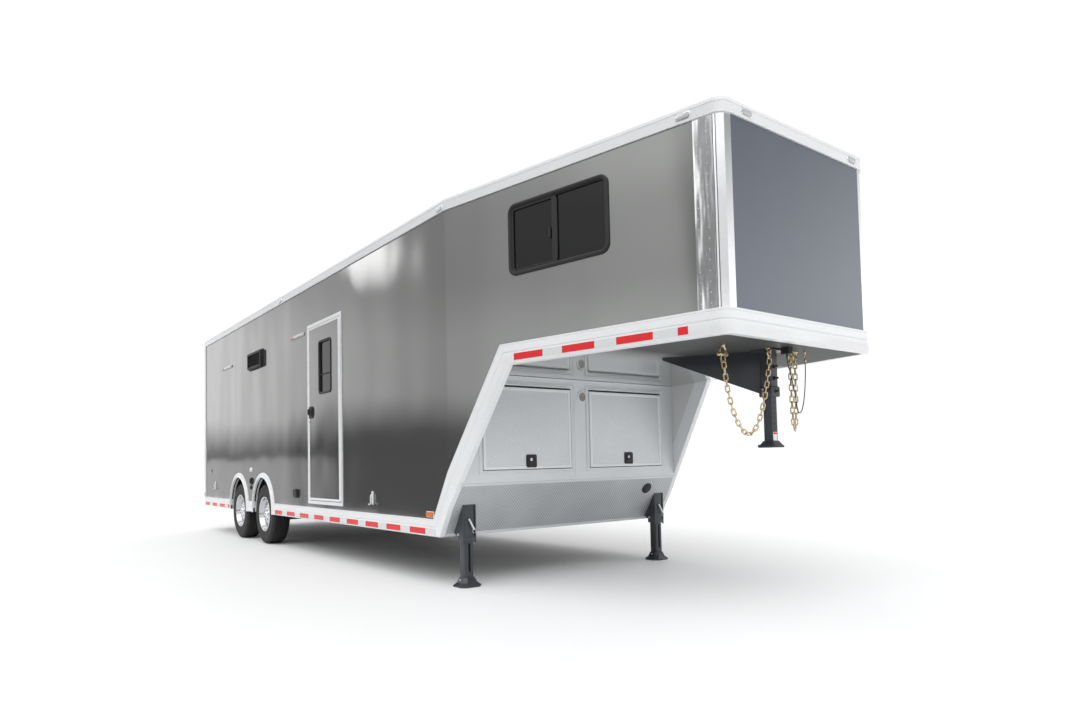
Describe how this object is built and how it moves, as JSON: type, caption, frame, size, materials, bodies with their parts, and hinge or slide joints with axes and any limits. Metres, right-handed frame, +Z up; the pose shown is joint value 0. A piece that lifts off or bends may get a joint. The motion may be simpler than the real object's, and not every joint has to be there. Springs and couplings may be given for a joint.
{
  "type": "gooseneck trailer",
  "caption": "Enclosed gooseneck trailer with tapered raised nose, rear ramp door, side entry door, nose windows, tandem axles, front jacks and a gooseneck coupler.",
  "frame": {"origin": "centre of the bounding box on the ground the trailer stands on", "axes": "+X towards the nose, +Y to the left side, +Z up"},
  "size_m": [10.412, 2.65, 3.159],
  "materials": {
    "side_skin": "glossy metallic charcoal",
    "nose_skin": "satin blue-grey",
    "polished_metal": "mirror polished stainless",
    "trim_aluminium": "white and satin aluminium extrusion",
    "roof_skin": "white sheet",
    "floor_deck": "sealed plywood deck",
    "stone_guard": "fine embossed grey",
    "bulkhead_skin": "satin white",
    "hatch_skin": "fine stucco embossed",
    "underside_sheet": "glossy grey sheet",
    "frame_paint": "black chassis paint",
    "jack_paint": "satin black",
    "black_plastic": "moulded",
    "tinted_glass": "tinted",
    "tyre_rubber": "rubber",
    "wheel_alloy": "machined and polished",
    "plated_chain": "yellow zinc plate",
    "cable_jacket": "vinyl jacket"
  },
  "bodies": {
    "trailer": {"right_side_wall": "side_skin", "right_nose_wall": "side_skin", "right_window_frame": "black_plastic", "right_window_glass": "tinted_glass", "right_nose_corner": "polished_metal", "right_side_sill": "trim_aluminium", "right_slope_rail": "trim_aluminium", "right_wheel_box": "frame_paint", "right_jack": "jack_paint", "right_safety_chain": "plated_chain", "left_side_wall": "side_skin", "left_nose_wall": "side_skin", "left_window_frame": "black_plastic", "left_window_glass": "tinted_glass", "left_nose_corner": "polished_metal", "left_side_sill": "trim_aluminium", "left_slope_rail": "trim_aluminium", "left_wheel_box": "frame_paint", "left_jack": "jack_paint", "left_safety_chain": "plated_chain", "nose_panel": "nose_skin", "neck_rail": "trim_aluminium", "roof_trim": "trim_aluminium", "roof_panel": "roof_skin", "load_floor": "floor_deck", "lower_front_panel": "stone_guard", "front_bulkhead": "bulkhead_skin", "neck_floor": "underside_sheet", "chassis_frame": "frame_paint", "front_axle": "frame_paint", "rear_axle": "frame_paint", "rear_frame": "trim_aluminium", "entry_door_frame": "trim_aluminium", "coupler_mount": "jack_paint", "coupler": "jack_paint", "breakaway_switch": "black_plastic", "breakaway_cable": "cable_jacket", "breakaway_clip": "plated_chain"},
    "right_hatch": {"right_hatch_door": "hatch_skin"},
    "right_front_wheel": {"right_front_tyre": "tyre_rubber", "right_front_wheel": "wheel_alloy"},
    "right_rear_wheel": {"right_rear_tyre": "tyre_rubber", "right_rear_wheel": "wheel_alloy"},
    "left_hatch": {"left_hatch_door": "hatch_skin"},
    "left_front_wheel": {"left_front_tyre": "tyre_rubber", "left_front_wheel": "wheel_alloy"},
    "left_rear_wheel": {"left_rear_tyre": "tyre_rubber", "left_rear_wheel": "wheel_alloy"},
    "ramp": {"rear_ramp_door": "side_skin"},
    "entry_door": {"entry_door": "side_skin", "entry_window_frame": "black_plastic", "entry_window_glass": "tinted_glass"}
  },
  "joints": [
    {"name": "right_front_wheel_spin", "type": "hinge", "parent": "trailer", "child": "right_front_wheel", "pos_m": [-2.031, -1.172, 0.391], "axis": [0, 1, 0], "continuous": true},
    {"name": "right_rear_wheel_spin", "type": "hinge", "parent": "trailer", "child": "right_rear_wheel", "pos_m": [-3.156, -1.172, 0.391], "axis": [0, 1, 0], "continuous": true},
    {"name": "left_front_wheel_spin", "type": "hinge", "parent": "trailer", "child": "left_front_wheel", "pos_m": [-2.031, 1.172, 0.391], "axis": [0, 1, 0], "continuous": true},
    {"name": "left_rear_wheel_spin", "type": "hinge", "parent": "trailer", "child": "left_rear_wheel", "pos_m": [-3.156, 1.172, 0.391], "axis": [0, 1, 0], "continuous": true},
    {"name": "ramp_hinge", "type": "hinge", "parent": "trailer", "child": "ramp", "pos_m": [-5.206, 0, 0.562], "axis": [0, -1, 0], "range_deg": [0, 103]},
    {"name": "entry_door_hinge", "type": "hinge", "parent": "trailer", "child": "entry_door", "pos_m": [0.61, -1.313, 1.603], "axis": [0, 0, 1], "range_deg": [0, 170]},
    {"name": "right_hatch_hinge", "type": "hinge", "parent": "trailer", "child": "right_hatch", "pos_m": [2.90507, -0.5785, 1.621], "axis": [0, -1, 0], "range_deg": [0, 90]},
    {"name": "left_hatch_hinge", "type": "hinge", "parent": "trailer", "child": "left_hatch", "pos_m": [2.90507, 0.5785, 1.621], "axis": [0, -1, 0], "range_deg": [0, 90]}
  ]
}
